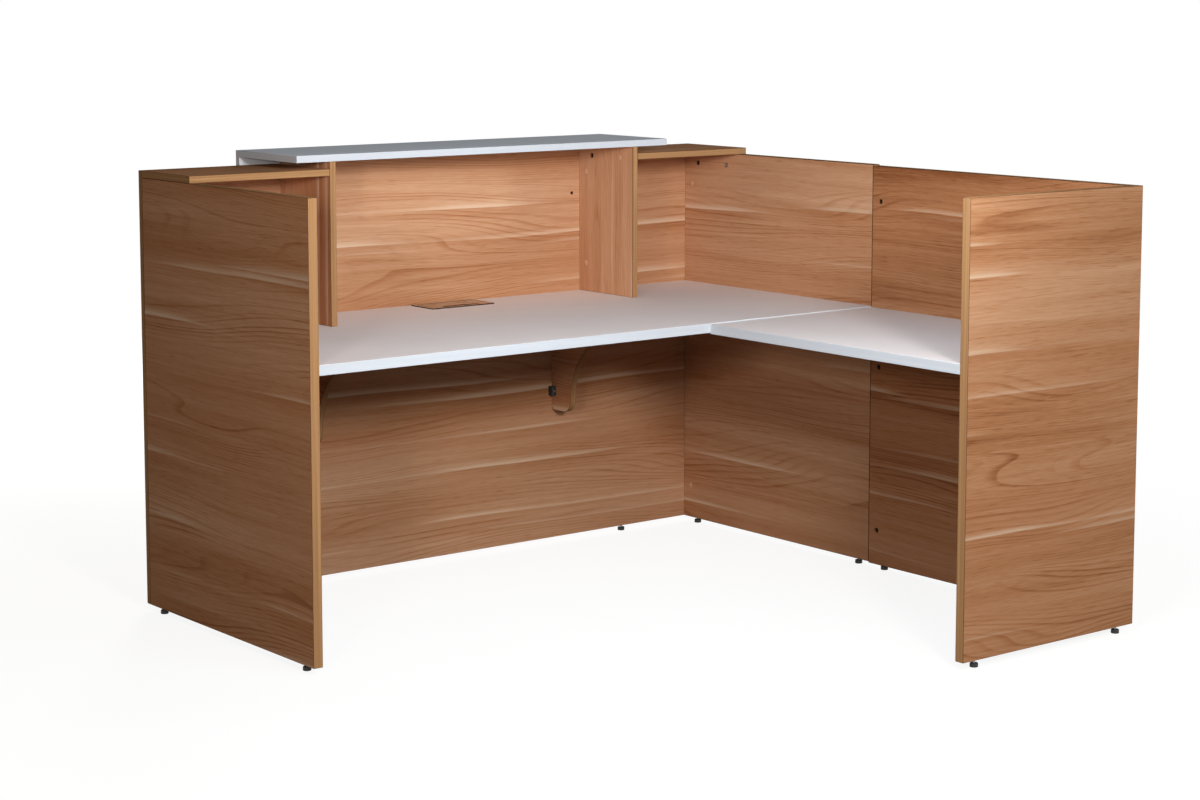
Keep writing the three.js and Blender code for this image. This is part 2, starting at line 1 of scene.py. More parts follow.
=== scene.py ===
"""Looks of the reception desk: laminated boards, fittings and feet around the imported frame."""
import logging
import math
from dataclasses import dataclass, field
from enum import Enum
from typing import ClassVar, Sequence, Union

import bmesh
import bpy
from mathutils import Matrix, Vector


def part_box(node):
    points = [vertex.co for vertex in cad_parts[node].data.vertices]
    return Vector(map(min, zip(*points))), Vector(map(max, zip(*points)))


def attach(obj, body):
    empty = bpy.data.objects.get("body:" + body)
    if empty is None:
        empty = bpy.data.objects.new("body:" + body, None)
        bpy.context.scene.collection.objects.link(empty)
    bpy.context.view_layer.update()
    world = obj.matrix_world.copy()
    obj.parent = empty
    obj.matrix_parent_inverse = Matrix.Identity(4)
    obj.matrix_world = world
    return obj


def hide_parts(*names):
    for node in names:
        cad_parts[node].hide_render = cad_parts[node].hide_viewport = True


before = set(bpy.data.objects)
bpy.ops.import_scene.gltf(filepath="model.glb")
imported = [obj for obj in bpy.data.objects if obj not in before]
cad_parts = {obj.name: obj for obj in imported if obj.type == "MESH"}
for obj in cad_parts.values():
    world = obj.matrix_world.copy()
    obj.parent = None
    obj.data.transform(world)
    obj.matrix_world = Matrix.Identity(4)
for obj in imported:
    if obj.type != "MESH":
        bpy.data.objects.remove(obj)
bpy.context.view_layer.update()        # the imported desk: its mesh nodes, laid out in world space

log = logging.getLogger("reception_desk")

MILLIMETRE = 0.001
ROOT_BODY = "desk"

Socket = bpy.types.NodeSocket
Feed = Union[float, int, bool, str, Sequence[float], Socket, bpy.types.ID]


def linear(red: int, green: int, blue: int) -> tuple[float, float, float, float]:
    """Turns a screen colour into the linear colour that a shader takes.

    Args:
        red: Red from 0 to 255.
        green: Green from 0 to 255.
        blue: Blue from 0 to 255.

    Returns:
        The linear colour, opaque.
    """
    def open_up(value: float) -> float:
        """Undoes the screen's curve for one channel."""
        return value / 12.92 if value <= 0.04045 else ((value + 0.055) / 1.055) ** 2.4

    return (*(open_up(channel / 255) for channel in (red, green, blue)), 1.0)


class Grain(Enum):
    """The axis that a board's grain follows."""

    ALONG_X = 0
    ALONG_Y = 1
    UPRIGHT = 2


class Decor(Enum):
    """The two laminates that the boards wear, by the record's slot."""

    WALNUT = "walnut_board"
    WHITE = "white_board"


class NodeSheet:
    """Adds nodes to one tree and feeds each of them as it is made."""

    def __init__(self, tree: bpy.types.NodeTree) -> None:
        """Starts on a tree, which is emptied.

        Args:
            tree: The node tree to fill.
        """
        self.tree = tree
        tree.nodes.clear()

    def add(self, kind: str, feeds: dict[Union[str, int], Feed], **settings: object) -> bpy.types.Node:
        """Adds one node.

        Args:
            kind: Blender's name of the node type.
            feeds: What each input takes, by its name or its number.
            settings: The node's own settings.

        Returns:
            The new node.
        """
        node = self.tree.nodes.new(kind)
        for name, value in settings.items():
            setattr(node, name, value)
        for key, value in feeds.items():
            self.feed(node.inputs[key], value)
        return node

    def feed(self, socket: Socket, value: Feed) -> None:
        """Links a socket to another one, or sets it to a plain value."""
        if isinstance(value, Socket):
            self.tree.links.new(value, socket)
        else:
            socket.default_value = value

    def math(self, operation: str, *values: Feed) -> Socket:
        """Adds one arithmetic step and returns its result."""
        return self.add("ShaderNodeMath", dict(enumerate(values)), operation=operation).outputs[0]

    def weigh(self, value: Socket, weight: float, base: Feed) -> Socket:
        """Adds a weighted value to a base and returns the sum."""
        return self.math("MULTIPLY_ADD", value, weight, base)

    def noise(self, at: Socket, stretch: tuple[float, float, float], detail: float) -> Socket:
        """Adds a noise with its own scale along each axis.

        Args:
            at: The place that the noise is read at.
            stretch: The noise's scale along each axis, per metre.
            detail: How many finer octaves it has.

        Returns:
            The noise, about 0.5.
        """
        spread = self.add("ShaderNodeVectorMath", {0: at, 1: stretch}, operation="MULTIPLY")
        return self.add("ShaderNodeTexNoise", {
            "Vector": spread.outputs[0], "Scale": 1.0, "Detail": detail}).outputs["Fac"]

    def ease(self, value: Feed, low: Feed, high: Feed, start: float = 0.0, end: float = 1.0) -> Socket:
        """Eases from a start to an end while a value goes from low to high.

        Args:
            value: The value that drives it.
            low: Where it starts.
            high: Where it ends.
            start: The result at low.
            end: The result at high.

        Returns:
            The eased result.
        """
        return self.add("ShaderNodeMapRange", {0: value, 1: low, 2: high, 3: start, 4: end},
                        interpolation_type="SMOOTHSTEP").outputs[0]

    def ramp(self, value: Socket, stops: Sequence[tuple[float, tuple[int, int, int]]]) -> Socket:
        """Colours a value by a run of screen colours.

        Args:
            value: The value, from 0 to 1.
            stops: Places from 0 to 1, each with its colour.

        Returns:
            The colour.
        """
        node = self.add("ShaderNodeValToRGB", {0: value})
        points = node.color_ramp.elements
        while len(points) < len(stops):
            points.new(1.0)
        for point, (place, colour) in zip(points, stops):
            point.position = place
            point.color = linear(*colour)
        return node.outputs[0]

    def blend(self, share: Feed, first: Feed, second: Feed) -> Socket:
        """Mixes two colours and returns the mixture."""
        return self.add("ShaderNodeMix", {0: share, 6: first, 7: second}, data_type="RGBA").outputs[2]

    def place(self) -> Socket:
        """Returns the place on the piece, in the desk's own metres."""
        return self.add("ShaderNodeTexCoord", {}).outputs["Object"]

    def relief(self, height: Socket, strength: float, depth: float) -> Socket:
        """Turns a height into a surface normal of a given strength and depth."""
        return self.add("ShaderNodeBump", {
            "Strength": strength, "Distance": depth, "Height": height}).outputs[0]


def new_surface(name: str, **sockets: Feed) -> tuple[NodeSheet, bpy.types.Node, bpy.types.Material]:
    """Starts a material on one surface shader.

    Args:
        name: The material's name.
        sockets: Constant shader values, with spaces in their names as underscores.

    Returns:
        The sheet to add nodes to, the shader and the material.
    """
    material = bpy.data.materials.new(name)
    material.use_nodes = True
    sheet = NodeSheet(material.node_tree)
    shader = sheet.add("ShaderNodeBsdfPrincipled", {
        key.replace("_", " "): value for key, value in sockets.items()})
    sheet.add("ShaderNodeOutputMaterial", {"Surface": shader.outputs[0]})
    return sheet, shader, material


@dataclass(frozen=True)
class WalnutLaminate:
    """Printed walnut laminate: arched figure, straight fibres and long pale sap streaks."""

    tones: tuple = (
        (0.06, (133, 80, 48)), (0.34, (176, 122, 84)), (0.62, (200, 153, 118)), (0.94, (219, 183, 154)))
    sap: tuple[int, int, int] = (233, 211, 185)
    blush: tuple[int, int, int] = (182, 124, 87)
    figure_pitch: float = 90.0
    figure_swirl: float = 32.0
    drift: float = 0.028

    def figure(self) -> bpy.types.NodeTree:
        """Draws the figure once, as a group that every walnut board shares.

        Returns:
            A group from a place (along, across, through the grain) and the board's tone offset to a colour
            and a height; the offset carries painted light and shade.
        """
        name = "walnut_figure"
        if name in bpy.data.node_groups:
            return bpy.data.node_groups[name]
        tree = bpy.data.node_groups.new(name, "ShaderNodeTree")
        tree.interface.new_socket("Place", in_out="INPUT", socket_type="NodeSocketVector")
        tree.interface.new_socket("Tone", in_out="INPUT", socket_type="NodeSocketFloat")
        tree.interface.new_socket("Colour", in_out="OUTPUT", socket_type="NodeSocketColor")
        tree.interface.new_socket("Height", in_out="OUTPUT", socket_type="NodeSocketFloat")
        sheet = NodeSheet(tree)
        given = sheet.add("NodeGroupInput", {}).outputs
        axes = sheet.add("ShaderNodeSeparateXYZ", {0: given["Place"]})
        along = axes.outputs[0]
        across = sheet.weigh(sheet.noise(given["Place"], (1.3, 2.2, 0.0), 1.0), self.drift, axes.outputs[1])
        at = sheet.add("ShaderNodeCombineXYZ", {0: along, 1: across, 2: axes.outputs[2]}).outputs[0]

        bands = sheet.noise(at, (0.5, 7.5, 1.0), 2.0)
        strands = sheet.noise(at, (1.5, 62.0, 40.0), 4.0)
        threads = sheet.noise(at, (4.5, 210.0, 120.0), 3.0)
        fibres = sheet.noise(at, (24.0, 520.0, 300.0), 2.0)
        flecks = sheet.ease(sheet.noise(at, (20.0, 320.0, 200.0), 0.0), 0.64, 0.80)
        lines = self._arches(sheet, at, across)
        core, halo, shade = self._sap_streaks(sheet, at, along, across)

        tone = sheet.math("ADD", given["Tone"], 0.505 - 0.35 - 0.16 - 0.12 - 0.12)
        for texture, weight in ((bands, 0.70), (strands, 0.32), (threads, 0.24), (fibres, 0.24),
                                (flecks, -0.10), (lines, -0.26), (halo, 0.11), (shade, -0.12)):
            tone = sheet.weigh(texture, weight, tone)
        colour = sheet.ramp(tone, self.tones)
        flush = sheet.ease(sheet.noise(at, (0.6, 5.0, 1.0), 1.0), 0.42, 0.68, 0.0, 0.28)
        core = sheet.math("MULTIPLY", core, sheet.ease(strands, 0.3, 0.7, 0.55, 1.0))
        colour = sheet.blend(flush, colour, linear(*self.blush))
        colour = sheet.blend(core, colour, linear(*self.sap))
        sheet.add("NodeGroupOutput", {"Colour": colour, "Height": fibres})
        return tree

    def _arches(self, sheet: NodeSheet, at: Socket, across: Socket) -> Socket:
        """Draws the growth lines, which close into long arches where the figure swirls.

        Args:
            sheet: The sheet to draw on.
            at: The place in grain axes.
            across: The place across the grain.

        Returns:
            How dark the growth line is, from 0 to 1.
        """
        swirl = sheet.noise(at, (0.65, 5.0, 1.0), 1.3)
        rings = sheet.weigh(across, self.figure_pitch, sheet.math("MULTIPLY", swirl, self.figure_swirl))
        phase = sheet.math("FRACT", rings)
        rise = sheet.ease(phase, 0.45, 0.90)
        fall = sheet.ease(phase, 0.90, 1.0, 1.0, 0.0)
        line = sheet.math("MULTIPLY", rise, fall)
        year = sheet.add("ShaderNodeTexWhiteNoise", {"W": sheet.math("FLOOR", rings)},
                         noise_dimensions="1D").outputs[0]
        seen = sheet.ease(sheet.noise(at, (1.6, 6.0, 1.0), 2.0), 0.36, 0.60, 0.12, 1.0)
        return sheet.math("MULTIPLY", line, sheet.math("MULTIPLY", year, seen))

    def _sap_streaks(self, sheet: NodeSheet, at: Socket, along: Socket,
                     across: Socket) -> tuple[Socket, Socket, Socket]:
        """Draws two sets of pale streaks, sharp below and fading above.

        Args:
            sheet: The sheet to draw on.
            at: The place in grain axes.
            along: The place along the grain.
            across: The place across the grain.

        Returns:
            The streaks' bright core, their fading halo and the darker wood under them.
        """
        wave = sheet.noise(at, (1.0, 0.7, 0.0), 1.0)
        found: list[list[Socket]] = []
        for gap, seed in ((0.125, 3.7), (0.215, 11.3)):
            level = sheet.weigh(wave, 0.014 / gap, sheet.weigh(across, 1 / gap, seed))
            row = sheet.math("FLOOR", level)
            chance = sheet.add("ShaderNodeTexWhiteNoise", {"W": row}, noise_dimensions="1D").outputs[0]
            line = sheet.weigh(chance, 0.6, 0.2)
            above = sheet.math("MULTIPLY", sheet.math("SUBTRACT", sheet.math("FRACT", level), line), gap)
            spot = sheet.add("ShaderNodeCombineXYZ", {
                0: along, 1: sheet.math("MULTIPLY_ADD", row, 7.31, seed)}).outputs[0]
            run = sheet.noise(spot, (1.35, 1.0, 0.0), 1.0)
            present = sheet.ease(run, 0.46, 0.70)
            width = sheet.weigh(present, 0.015, 0.004)
            edge = sheet.ease(above, -0.0016, 0.0012)
            core = sheet.math("MULTIPLY", edge, sheet.ease(above, 0.0012, width, 1.0, 0.0))
            halo = sheet.math("MULTIPLY", edge, sheet.ease(above, 0.0, 0.034, 1.0, 0.0))
            below = sheet.ease(above, -0.0012, 0.0012, 1.0, 0.0)
            shade = sheet.math("MULTIPLY", below, sheet.ease(above, -0.052, -0.002))
            found.append([sheet.math("MULTIPLY", part, present) for part in (core, halo, shade)])
        core, halo, shade = (sheet.math("MAXIMUM", *pair) for pair in zip(*found))
        return sheet.math("MULTIPLY", core, 0.58), halo, shade

    def material(self, board: str, grain: Grain, thin: int, shift: Vector,
                 tone: float) -> bpy.types.Material:
        """Lays the figure on one board.

        Args:
            board: The board's name.
            grain: The axis that the grain follows.
            thin: The axis through the board's thickness.
            shift: Where on the laminate this board was cut.
            tone: How much lighter or darker the board is drawn, set board by board as painted light and
            shade to how brightly it is lit.

        Returns:
            The board's laminate.
        """
        sheet, shader, material = new_surface(f"walnut_{board}", Specular_IOR_Level=0.0)
        axes = sheet.add("ShaderNodeSeparateXYZ", {0: sheet.place()})
        side = 3 - grain.value - thin
        turned = sheet.add("ShaderNodeCombineXYZ", {
            0: axes.outputs[grain.value], 1: axes.outputs[side], 2: axes.outputs[thin]})
        cut = sheet.add("ShaderNodeMapping", {"Vector": turned.outputs[0], "Location": shift})
        group = sheet.add("ShaderNodeGroup", {}, node_tree=self.figure())
        sheet.feed(group.inputs["Place"], cut.outputs[0])
        sheet.feed(group.inputs["Tone"], tone)
        sheet.feed(shader.inputs["Base Color"], group.outputs["Colour"])
        sheet.feed(shader.inputs["Roughness"], sheet.weigh(group.outputs["Height"], 0.16, 0.42))
        sheet.feed(shader.inputs["Normal"], sheet.relief(group.outputs["Height"], 0.12, 0.2 * MILLIMETRE))
        return material


@dataclass(frozen=True)
class EdgeBand:
    """Plastic banding on a board's thickness, with fine lines along its length."""

    name: str
    dark: tuple[int, int, int]
    light: tuple[int, int, int]
    roughness: float
    gloss: float

    def material(self, thin: int) -> bpy.types.Material:
        """Makes the banding for boards of one thin axis, once.

        Args:
            thin: The axis through the board's thickness.

        Returns:
            The banding's material.
        """
        name = f"{self.name}_{'xyz'[thin]}"
        if name in bpy.data.materials:
            return bpy.data.materials[name]
        sheet, shader, material = new_surface(name, Roughness=self.roughness,
                                              Specular_IOR_Level=self.gloss)
        at = sheet.place()
        fine = sheet.noise(at, tuple(950.0 if axis == thin else 2.2 for axis in range(3)), 2.0)
        broad = sheet.noise(at, tuple(160.0 if axis == thin else 1.4 for axis in range(3)), 1.0)
        grade = sheet.weigh(broad, 0.7, sheet.weigh(fine, 0.9, -0.3))
        sheet.feed(shader.inputs["Base Color"], sheet.ramp(grade, ((0.2, self.dark), (0.8, self.light))))
        sheet.feed(shader.inputs["Normal"], sheet.relief(fine, 0.08, 0.2 * MILLIMETRE))
        return material


@dataclass(frozen=True)
class MottledFinish:
    """A finish whose colour wanders a little over a fine grain: laminate, plastic or metal."""

    name: str
    dark: tuple[int, int, int]
    light: tuple[int, int, int]
    roughness: tuple[float, float]
    grain: tuple[float, float, float] = (900.0, 900.0, 900.0)
    cloud: tuple[float, float, float] = (9.0, 9.0, 9.0)
    metal: float = 0.0
    gloss: float = 0.5
    relief: float = 0.1

    def material(self) -> bpy.types.Material:
        """Makes the finish once.

        Returns:
            The finish's material.
        """
        if self.name in bpy.data.materials:
            return bpy.data.materials[self.name]
        sheet, shader, material = new_surface(self.name, Metallic=self.metal, Specular_IOR_Level=self.gloss)
        at = sheet.place()
        cloud = sheet.noise(at, self.cloud, 3.0)
        grain = sheet.noise(at, self.grain, 2.0)
        grade = sheet.weigh(grain, 0.5, sheet.weigh(cloud, 1.0, -0.25))
        sheet.feed(shader.inputs["Base Color"], sheet.ramp(grade, ((0.2, self.dark), (0.8, self.light))))
        low, high = self.roughness
        sheet.feed(shader.inputs["Roughness"], sheet.ease(grade, 0.2, 0.8, low, high))
        sheet.feed(shader.inputs["Normal"], sheet.relief(grain, self.relief, 0.1 * MILLIMETRE))
        return material


WALNUT = WalnutLaminate()
WALNUT_BAND = EdgeBand("walnut_banding", (148, 106, 69), (186, 144, 101), 0.48, 0.0)
WHITE_BAND = EdgeBand("white_banding", (202, 206, 211), (210, 214, 219), 0.45, 0.0)
# The white laminate drawn warm: its warm tint is painted light, the glow bounced off the walnut boards onto
# the worktops.
WARM_BOUNCE_WHITE = MottledFinish("white_laminate", (236, 226, 222), (243, 233, 229), (0.62, 0.70),
                           cloud=(3.0, 3.0, 3.0), gloss=0.0, relief=0.05)
# A cooler copy of the same white laminate, for the counter and the fascia: the laminate's own cool white,
# tinted a little bluer as a painted reflection of cool surroundings on the counter top.
COOL_REFLECTION_WHITE = MottledFinish("cool_white_laminate", (222, 226, 231), (230, 234, 239), (0.62, 0.70),
                           cloud=(3.0, 3.0, 3.0), gloss=0.0, relief=0.05)
GLUE_LINE = MottledFinish("banding_glue_line", (88, 58, 36), (116, 78, 50), (0.6, 0.75), gloss=0.0)
# Roundings of the corner and return side panels, where they meet: partly a real joint line, partly the
# painted shadow of the gap between the two panels.
SEAM_SHADE_JOINT = MottledFinish("dark_joint", (54, 37, 26), (74, 52, 36), (0.6, 0.75), gloss=0.0)
RAW_BOARD = MottledFinish("raw_chipboard", (92, 66, 44), (176, 138, 98), (0.8, 0.95),
                          grain=(520.0, 520.0, 520.0), cloud=(240.0, 240.0, 240.0), gloss=0.2, relief=0.6)
FLAP_METAL = MottledFinish("brushed_flap_metal", (192, 186, 182), (216, 211, 207), (0.24, 0.34),
                           grain=(20.0, 1400.0, 1400.0), cloud=(14.0, 60.0, 60.0), metal=1.0, relief=0.08)
ZINC = MottledFinish("zinc_plate", (172, 174, 176), (208, 208, 206), (0.28, 0.46),
                     cloud=(120.0, 120.0, 120.0), metal=1.0, relief=0.1)
# A darker copy of the flap metal for the frame's and lid's side faces: painted shade and dark reflection
# that outline the flap.
SHADED_FLAP_RIM = MottledFinish("dark_flap_edge", (52, 46, 42), (78, 70, 64), (0.34, 0.46),
                          cloud=(60.0, 60.0, 60.0), metal=1.0, relief=0.05)
# A dark brown copy of the zinc for heads set deep in their bores: painted shade of the recesses, where the
# flush heads keep the bright zinc.
RECESS_SHADED_ZINC = MottledFinish("dark_cam_metal", (48, 34, 25), (80, 60, 46), (0.42, 0.62),
                          cloud=(160.0, 160.0, 160.0), metal=1.0, relief=0.1)
BLACK_PLASTIC = MottledFinish("black_plastic", (12, 11, 10), (22, 20, 18), (0.5, 0.66),
                              cloud=(70.0, 70.0, 70.0), gloss=0.0, relief=0.2)
CAP_PLASTIC = MottledFinish("cover_cap_plastic", (192, 147, 116), (212, 169, 139), (0.36, 0.48),
                            cloud=(180.0, 180.0, 180.0), gloss=0.4, relief=0.08)


def merged_copy(node: str, name: str) -> bpy.types.Object:
    """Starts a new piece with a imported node's shape, its loose triangles joined.

    Args:
        node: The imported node.
        name: The new piece's name.

    Returns:
        The new piece, in place, with no material.
    """
    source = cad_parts[node].data
    mesh = bpy.data.meshes.new(name)
    mesh.from_pydata([vertex.co[:] for vertex in source.vertices], [],
                     [polygon.vertices[:] for polygon in source.polygons])
    piece = bpy.data.objects.new(name, mesh)
    bpy.context.scene.collection.objects.link(piece)
    work = bmesh.new()
    work.from_mesh(mesh)
    bmesh.ops.remove_doubles(work, verts=work.verts, dist=1e-6)
    bmesh.ops.dissolve_limit(work, angle_limit=math.radians(0.5), verts=work.verts, edges=work.edges)
    work.to_mesh(mesh)
    work.free()
    return piece


def soften_edges(mesh: bpy.types.Mesh, radius: float, least_angle: float, raw_slot: int = -1,
                 edge_slot: int = -1) -> None:
    """Rounds a mesh's sharp edges and shades the rest smooth.

    Args:
        mesh: The mesh to work on.
        radius: The rounding's radius.
        least_angle: The least angle between two faces that counts as an edge, in degrees.
        raw_slot: A material slot whose own edges stay sharp.
        edge_slot: The rounding's own material slot, or -1 to keep its neighbours' ones.
    """
    work = bmesh.new()
    work.from_mesh(mesh)
    edges = [
        edge for edge in work.edges
        if len(edge.link_faces) == 2
        and edge.calc_face_angle() > math.radians(least_angle)
        and all(face.material_index != raw_slot for face in edge.link_faces)]
    bmesh.ops.bevel(work, geom=edges, offset=radius, offset_type="OFFSET", segments=2, profile=0.5,
                    affect="EDGES", clamp_overlap=True, material=edge_slot)
    work.to_mesh(mesh)
    work.free()
    mesh.shade_smooth()
    mesh.set_sharp_from_angle(angle=math.radians(20))


def fit(piece: bpy.types.Object, body: str, slot: str, *nodes: str) -> None:
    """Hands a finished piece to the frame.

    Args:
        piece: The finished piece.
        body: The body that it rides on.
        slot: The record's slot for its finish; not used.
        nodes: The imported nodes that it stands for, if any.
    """
    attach(piece, body)
    if nodes:
        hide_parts(*nodes)
    log.info("%s: %d faces on %s", piece.name, len(piece.data.polygons), body)


@dataclass(frozen=True)
class Board:
    """One laminated board with banded edges."""

    node: str
    decor: Decor
    grain: Grain = Grain.ALONG_X
    # How much lighter or darker the board is drawn: painted light and shade, set per board.
    tone: float = 0.0
    bored: bool = True
    white: MottledFinish = WARM_BOUNCE_WHITE
    joint: MottledFinish = GLUE_LINE
    edge_radius: float = 0.9 * MILLIMETRE

    def dress(self, number: int) -> None:
        """Copies the board, lays its laminate and banding, and rounds its edges.

        Args:
            number: The board's place in the cutting list, which sets where its figure is cut.
        """
        low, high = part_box(self.node)
        size = high - low
        thin = min(range(3), key=lambda axis: size[axis])
        piece = merged_copy(self.node, f"{self.node}_board")
        for material in self._materials(number, thin):
            piece.data.materials.append(material)
        for polygon in piece.data.polygons:
            polygon.material_index = self._part(polygon, thin, low, high)
        soften_edges(piece.data, self.edge_radius, 30.0, raw_slot=2 if self.bored else -1,
                     edge_slot=3 if self.decor is Decor.WALNUT else -1)
        fit(piece, ROOT_BODY, self.decor.value, self.node)

    def _materials(self, number: int, thin: int) -> list[bpy.types.Material]:
        """Lists the board's laminate, its banding, what its bores show and, on walnut, the glue line.

        Args:
            number: The board's place in the cutting list.
            thin: The axis through the board's thickness.

        Returns:
            The materials, by slot.
        """
        if self.decor is Decor.WHITE:
            return [self.white.material(), WHITE_BAND.material(thin), RAW_BOARD.material()]
        shift = Vector((2.37, 1.71, 0.53)) * (number + 0.35)
        face = WALNUT.material(self.node, self.grain, thin, shift, self.tone)
        # The joint finish colours the roundings: a glue line, and on the two seam boards a joint darkened
        # with painted shade.
        return [face, WALNUT_BAND.material(thin), RAW_BOARD.material(), self.joint.material()]

    def _part(self, polygon: bpy.types.MeshPolygon, thin: int, low: Vector, high: Vector) -> int:
        """Tells a face of the laminate from the banding and from the bores.

        Args:
            polygon: The face.
            thin: The axis through the board's thickness.
            low: The board's lowest corner.
            high: The board's highest corner.

        Returns:
            The face's material slot.
        """
        close = 0.05 * MILLIMETRE
        for axis in range(3):
            flat = abs(polygon.normal[axis]) > 0.999
            reach = polygon.center[axis]
            if flat and (reach - low[axis] < close or high[axis] - reach < close):
                return 0 if axis == thin else 1
        return 2 if self.bored else 1


@dataclass
class Carcass:
    """All the boards of the desk, in the order that they are cut."""

    # The two panels at the seam get darker, wider roundings: painted shade for the gap between them.
    seam: ClassVar[dict] = {"joint": SEAM_SHADE_JOINT, "edge_radius": 1.2 * MILLIMETRE}
    boards: list[Board] = field(default_factory=lambda: [
        # The tone given to a walnut board is painted light and shade: the board is drawn lighter or darker
        # to match how brightly it is lit.
        Board("front_panel", Decor.WALNUT, Grain.ALONG_X, 0.07),
        Board("left_side_panel", Decor.WALNUT, Grain.ALONG_Y, -0.05),
        Board("corner_side_panel", Decor.WALNUT, Grain.ALONG_Y, 0.03, **Carcass.seam),
        Board("return_side_panel", Decor.WALNUT, Grain.ALONG_Y, -0.18, **Carcass.seam),
        Board("return_end_panel", Decor.WALNUT, Grain.ALONG_X, -0.06),
        Board("left_ledge", Decor.WALNUT, Grain.ALONG_X),
        Board("right_ledge", Decor.WALNUT, Grain.ALONG_X),
        Board("left_divider", Decor.WALNUT, Grain.UPRIGHT, 0.10),
        Board("right_divider", Decor.WALNUT, Grain.UPRIGHT, 0.13),
        Board("worktop_bracket_left", Decor.WALNUT, Grain.ALONG_Y, 0.08, bored=False),
        Board("worktop_bracket_right", Decor.WALNUT, Grain.ALONG_Y, 0.08, bored=False),
        Board("fascia_batten_left", Decor.WALNUT, Grain.UPRIGHT),
        Board("fascia_batten_right", Decor.WALNUT, Grain.UPRIGHT),
        Board("main_worktop", Decor.WHITE),
        Board("return_worktop", Decor.WHITE),
        Board("transaction_counter", Decor.WHITE, white=COOL_REFLECTION_WHITE),
        Board("front_fascia", Decor.WHITE, white=COOL_REFLECTION_WHITE),
    ])

    def build(self) -> None:
        """Dresses every board."""
        for number, board in enumerate(self.boards):
            board.dress(number)


@dataclass
class CableFlap:
    """The metal cable outlet in the worktop, with its hinged lid."""

    edge_radius: float = 0.35 * MILLIMETRE
    lid_body: str = "cable_lid"

    def build(self) -> None:
        """Brushes the frame and the lid, darkens their edges and plates the lid's two pivot pins."""
        rows = [("cable_flap_frame", ROOT_BODY, (FLAP_METAL, SHADED_FLAP_RIM), "flap_metal"),
                ("cable_flap_lid", self.lid_body, (FLAP_METAL, SHADED_FLAP_RIM), "flap_metal"),
                ("cable_flap_pivot_left", self.lid_body, (ZINC, ZINC), "fitting_steel"),
                ("cable_flap_pivot_right", self.lid_body, (ZINC, ZINC), "fitting_steel")]
        for node, body, finishes, slot in rows:
            piece = merged_copy(node, f"{node}_metal")
            for finish in finishes:
                piece.data.materials.append(finish.material())
            for polygon in piece.data.polygons:
                # Side faces take the darker copy of the metal: painted shade along the flap's outline.
                polygon.material_index = int(abs(polygon.normal.z) < 0.9)
            soften_edges(piece.data, self.edge_radius, 40.0, edge_slot=1)
            fit(piece, body, slot, node)


